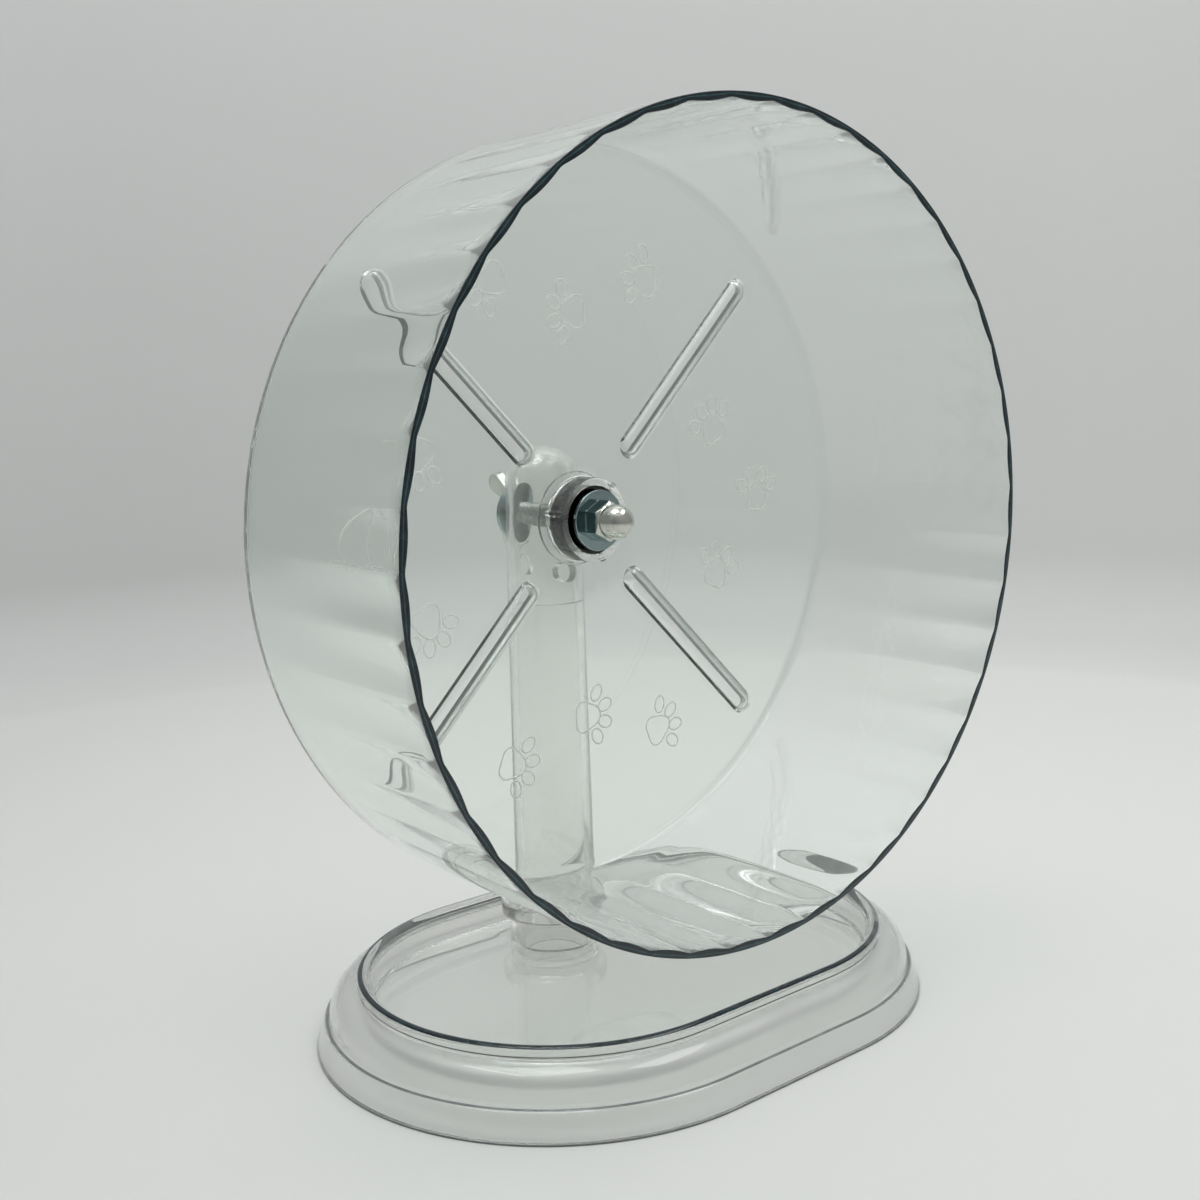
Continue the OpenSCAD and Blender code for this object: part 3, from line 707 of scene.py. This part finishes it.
def fade_bead(base):
    """Turns the bead's painted dark line to painted grey towards the far side of the base."""
    for face in base.data.polygons:
        ahead = face.center.dot(BEAD_DARK_SIDE) / MM
        if face.material_index == ON_BEAD and ahead <= BEAD_FADE_FROM:
            face.material_index = ON_LINE
        elif face.material_index == ON_BEAD and ahead <= BEAD_DARK_FROM:
            face.material_index = ON_FADE


def make_base():
    """Clear tray with the post's socket moulded into its floor."""
    section = base_section()
    rings = round_base([s[:2] for s in section], arc_steps=110, straight_steps=14)
    base = ring_mesh("base_tray_clear", rings, BASE_FINISHES, [s[2] for s in section],
                     closed=False, caps=True)
    fade_bead(base)
    bore_r = SPIGOT_R + SPIGOT_FIT
    socket_r = bore_r + SOCKET_WALL
    lower, upper = CUP_CLEAR + BASE_WALL, SOCKET_TOP + BORE_OVER
    cup = ([(0, CUP_CLEAR)] + bend((socket_r - CUP_EDGE, CUP_CLEAR + CUP_EDGE), CUP_EDGE, -90, 0, 5)
           + [(socket_r, SOCKET_TOP), (0, SOCKET_TOP)])
    bore = [(0, lower), (bore_r, lower), (bore_r, upper), (0, upper)]
    for name, profile, operation in (("cup", cup, "UNION"), ("bore", bore, "DIFFERENCE")):
        tool = ring_mesh(name, round_post(profile, SOCKET_COLUMNS), BASE_FINISHES, closed=False)
        carve(base, tool, operation)
    return place(base, "stand", "clear_plastic", "base_tray")


make_base()


# Hardware

def softened(node, body, slot, material, width):
    """A CAD node's shape with its edges rounded, standing for the node."""
    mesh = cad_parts[node].data.copy()
    mesh.materials.clear()
    piece = link_mesh(node + "_finished", mesh, [material])
    settle(piece, HARD_ANGLE)
    edge = piece.modifiers.new("edge", "BEVEL")
    edge.width = width * MM
    edge.segments = 3
    edge.limit_method = "ANGLE"
    edge.angle_limit = math.radians(HARD_ANGLE)
    return place(piece, body, slot, node)


def make_stud():
    """The axle stud with its rolled thread."""
    pitch, depth, per_turn, columns = 1.0, 0.6, 8, 40
    turns = int((stud_high[1] - stud_low[1]) / pitch)
    ys = np.linspace(stud_low[1], stud_high[1], turns * per_turn + 1)
    angles = circle(columns)
    rings = [np.tile((0, stud_low[1], AXLE_Z), (columns, 1))]
    for y in ys:
        phase = np.mod((y - stud_low[1]) / pitch - angles / (2 * math.pi), 1.0)
        ends = min(1.0, (y - stud_low[1]) / pitch, (stud_high[1] - y) / pitch)
        r = AXLE_R - depth * (1 - ends * (1 - np.abs(2 * phase - 1)))
        rings.append(np.c_[r * np.cos(angles), np.full(columns, y), AXLE_Z + r * np.sin(angles)])
    rings.append(np.tile((0, stud_high[1], AXLE_Z), (columns, 1)))
    stud = ring_mesh("axle_stud_threaded", rings, [STUD_STEEL], closed=False, sharp=60)
    return place(stud, "stand", "zinc_steel", "axle_stud")


def make_cap_nut():
    """Cap nut with chamfered corners and a polished dome."""
    flats, hex_h, top_r, dome_r, cap_wall = 10.0, 5.0, 4.9, 4.75, 3.0
    corner_cut, foot_h, foot_in, chamfer_h = 0.35, 0.25, 0.02, 1.0
    neck_low, neck_high, neck_w = 0.1, 0.25, 0.12
    height = nut_high[1] - nut_low[1]
    columns = 180
    angles = circle(columns)
    hexagon = flats / 2 / np.cos(np.mod(angles + math.pi / 6, math.pi / 3) - math.pi / 6)
    corner = flats / 2 / math.cos(math.pi / 6)
    washer_y = nut_high[1]
    bore = AXLE_R + AXLE_FIT
    inside = height - cap_wall
    rows = [(inside, np.zeros(columns)), (inside, np.full(columns, bore)), (0.0, np.full(columns, bore)),
            (0.0, np.minimum(hexagon, corner - corner_cut)), (foot_h, hexagon - foot_in)]
    rows += [(h, np.minimum(hexagon, top_r + hex_h - h)) for h in np.linspace(hex_h - chamfer_h, hex_h, 8)]
    rows += [(hex_h + neck_low, np.full(columns, dome_r + neck_w))]
    rows += [(hex_h + neck_high, np.full(columns, dome_r))]
    rows += [(height - dome_r + z, np.full(columns, r)) for r, z in bend((0, 0), dome_r, 0, 90, 24)]
    rings = []
    for h, r in rows:
        rings.append(np.c_[r * np.cos(angles), np.full(columns, washer_y - h), AXLE_Z + r * np.sin(angles)])
    # The hexagon's flats take the dark teal painted reflection.
    flat_band = 4
    bands = [int(i == flat_band) for i in range(len(rings))]
    nut = ring_mesh("cap_nut_polished", rings, [NUT_STEEL, HEX_PAINTED_REFLECTION], bands, closed=False, sharp=24)
    return place(nut, "stand", "polished_steel", "cap_nut")


make_stud()
make_cap_nut()
# Both washers use the steel colour darkened with painted reflection.
softened("front_washer", "stand", "mirror_washer", WASHER_STEEL_AND_REFLECTION, 0.18)
softened("rear_washer", "stand", "mirror_washer", WASHER_STEEL_AND_REFLECTION, 0.18)
softened("wing_nut", "stand", "zinc_steel", ZINC_STEEL, 0.5)
softened("spacer_sleeve", "stand", "zinc_steel", ZINC_STEEL, 0.2)
softened("shim_ring", "stand", "zinc_steel", ZINC_STEEL, 0.1)
softened("bearing_outer_ring", "wheel", "bearing_steel", BEARING_STEEL, 0.12)
softened("bearing_inner_ring", "stand", "bearing_steel", BEARING_STEEL, 0.12)
softened("bearing_front_shield", "wheel", "pressed_steel", SHEET_STEEL, 0.06)
softened("bearing_rear_shield", "wheel", "pressed_steel", SHEET_STEEL, 0.06)
for node, material in (("bearing_balls", NUT_STEEL), ("bearing_cage", SHEET_STEEL)):
    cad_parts[node].data.materials.clear()
    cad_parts[node].data.materials.append(material)


# Stage, lights and camera

# Paper colours with painted light: each gets lighter on the camera's right, where more light falls, and the
# wall is greyer than the floor as painted shade.
FLOOR_SHADED_LEFT, FLOOR_LIT_RIGHT = (0.68, 0.682, 0.667), (0.82, 0.823, 0.807)
WALL_SHADED_LEFT, WALL_LIT_RIGHT = (0.60, 0.605, 0.60), (0.715, 0.72, 0.71)
ROOM_SHADED_LEFT, ROOM_LIT_RIGHT = (0.27, 0.28, 0.28), (0.46, 0.47, 0.465)
STAGE_FLAT, STAGE_SWEEP, STAGE_TOP = 500.0, 60.0, 800.0
STAGE_R = STAGE_FLAT + STAGE_SWEEP
STAGE_SUNK, STAGE_COLUMNS = 0.05, 96
SKY_COLOUR, SKY_STRENGTH = (0.80, 0.82, 0.82), 0.98
BOUNCES, GLOSSY_BOUNCES = 32, 12


def make_stage():
    """A pale floor that sweeps up into a round wall, darker on the camera's side."""
    profile = [(0, 0), (STAGE_FLAT / 2, 0), (STAGE_FLAT, 0)]
    profile += bend((STAGE_FLAT, STAGE_SWEEP), STAGE_SWEEP, -90, 0, 24)[1:]
    profile += [(STAGE_R, STAGE_TOP / 2), (STAGE_R, STAGE_TOP)]
    angles = circle(STAGE_COLUMNS)
    rings = []
    for r, z in profile:
        level = np.full(STAGE_COLUMNS, z - STAGE_SUNK)
        rings.append(np.c_[r * np.cos(angles), r * np.sin(angles), level])
    stage = ring_mesh("stage", rings, [stage_paper()], closed=False, sharp=80)
    stage.data.flip_normals()


def stage_paper():
    """Matt paper: a light floor, a greyer wall behind the object with painted shade, and a darker room on the
    camera's side; each is lighter towards the right with painted light.
    """
    material, tree = new_material("stage_paper")
    where = tree.nodes.new("ShaderNodeTexCoord").outputs["Object"]
    split = tree.nodes.new("ShaderNodeSeparateXYZ")
    tree.links.new(where, split.inputs["Vector"])

    def vector(operation, source, other=(0, 0, 0)):
        node = tree.nodes.new("ShaderNodeVectorMath")
        node.operation = operation
        node.inputs[1].default_value = other
        tree.links.new(source, node.inputs[0])
        return node.outputs

    def share(source, start, end):
        return spread(tree, source, 0, 1, start * MM, end * MM)

    sine, cosine = math.sin(VIEW_AZIMUTH), math.cos(VIEW_AZIMUTH)
    across = vector("DOT_PRODUCT", where, (cosine, sine, 0))["Value"]
    inwards = vector("DOT_PRODUCT", where, (-sine, cosine, 0))["Value"]
    radius = vector("LENGTH", vector("MULTIPLY", where, (1, 1, 0))["Vector"])["Value"]
    apart = tree.nodes.new("ShaderNodeMath")
    apart.operation = "ABSOLUTE"
    tree.links.new(across, apart.inputs[0])
    ahead = share(inwards, -0.8 * STAGE_R, 0.1 * STAGE_R)
    beside = share(apart.outputs["Value"], 0.74 * STAGE_R, 0.94 * STAGE_R)
    above = share(split.outputs["Z"], 0.7 * STAGE_SWEEP, 1.8 * STAGE_SWEEP)
    # Painted light: share towards the camera's right, where the paper gets lighter.
    right = share(across, -STAGE_R / 2, STAGE_R / 2)
    far = share(radius, 0.97 * STAGE_FLAT, STAGE_FLAT + 0.6 * STAGE_SWEEP)
    wall = blend(tree, right, WALL_SHADED_LEFT, WALL_LIT_RIGHT)
    room = blend(tree, above, wall, blend(tree, right, ROOM_SHADED_LEFT, ROOM_LIT_RIGHT))
    wall = blend(tree, beside, blend(tree, ahead, room, wall), room)
    floor = blend(tree, right, FLOOR_SHADED_LEFT, FLOOR_LIT_RIGHT)
    body = add_node(tree, "ShaderNodeBsdfPrincipled", Roughness=0.9, Specular_IOR_Level=0.1)
    tree.links.new(blend(tree, far, floor, wall), body.inputs["Base Color"])
    show(tree, body.outputs["BSDF"])
    return material


def area_light(name, where, target, size, power):
    """A soft square lamp, placed in metres."""
    lamp = bpy.data.lights.new(name, "AREA")
    lamp.shape = "SQUARE"
    lamp.size = size
    lamp.energy = power
    piece = bpy.data.objects.new(name, lamp)
    piece.location = where
    piece.rotation_euler = (Vector(target) - Vector(where)).to_track_quat("-Z", "Y").to_euler()
    bpy.context.scene.collection.objects.link(piece)


def make_world():
    """Even soft light from all round."""
    world = bpy.data.worlds.new("studio")
    world.use_nodes = True
    tree = world.node_tree
    tree.nodes.clear()
    sky = add_node(tree, "ShaderNodeBackground", Color=(*SKY_COLOUR, 1), Strength=SKY_STRENGTH)
    out = tree.nodes.new("ShaderNodeOutputWorld")
    tree.links.new(sky.outputs["Background"], out.inputs["Surface"])
    bpy.context.scene.world = world


def make_camera():
    """The photograph's camera."""
    back = Vector((math.sin(VIEW_AZIMUTH) * math.cos(VIEW_ELEVATION),
                   -math.cos(VIEW_AZIMUTH) * math.cos(VIEW_ELEVATION), math.sin(VIEW_ELEVATION)))
    level = Vector((math.cos(VIEW_AZIMUTH), math.sin(VIEW_AZIMUTH), 0))
    upright = back.cross(level)
    right = math.cos(VIEW_ROLL) * level + math.sin(VIEW_ROLL) * upright
    up = -math.sin(VIEW_ROLL) * level + math.cos(VIEW_ROLL) * upright
    eye = (Vector(VIEW_TARGET) + VIEW_DISTANCE * back) * MM
    lens = bpy.data.cameras.new("camera")
    lens.sensor_width = SENSOR_MM
    lens.lens = SENSOR_MM * FOCAL_PIXELS / IMAGE_PIXELS
    lens.clip_start = 0.01
    camera = bpy.data.objects.new("camera", lens)
    camera.matrix_world = Matrix.Translation(eye) @ Matrix((right, up, back)).transposed().to_4x4()
    bpy.context.scene.collection.objects.link(camera)
    bpy.context.scene.camera = camera


make_stage()
make_world()
make_camera()
area_light("top_light", (-0.2, 0.05, 1.2), (0, 0, 0.1), size=0.6, power=5.1)
area_light("right_light", (0.6, -0.5, 1.0), (0.1, 0.1, 0.0), size=0.8, power=5.8)

scene = bpy.context.scene
scene.view_settings.view_transform = "Standard"
scene.cycles.max_bounces = BOUNCES
scene.cycles.transmission_bounces = BOUNCES
scene.cycles.glossy_bounces = GLOSSY_BOUNCES
scene.cycles.transparent_max_bounces = BOUNCES
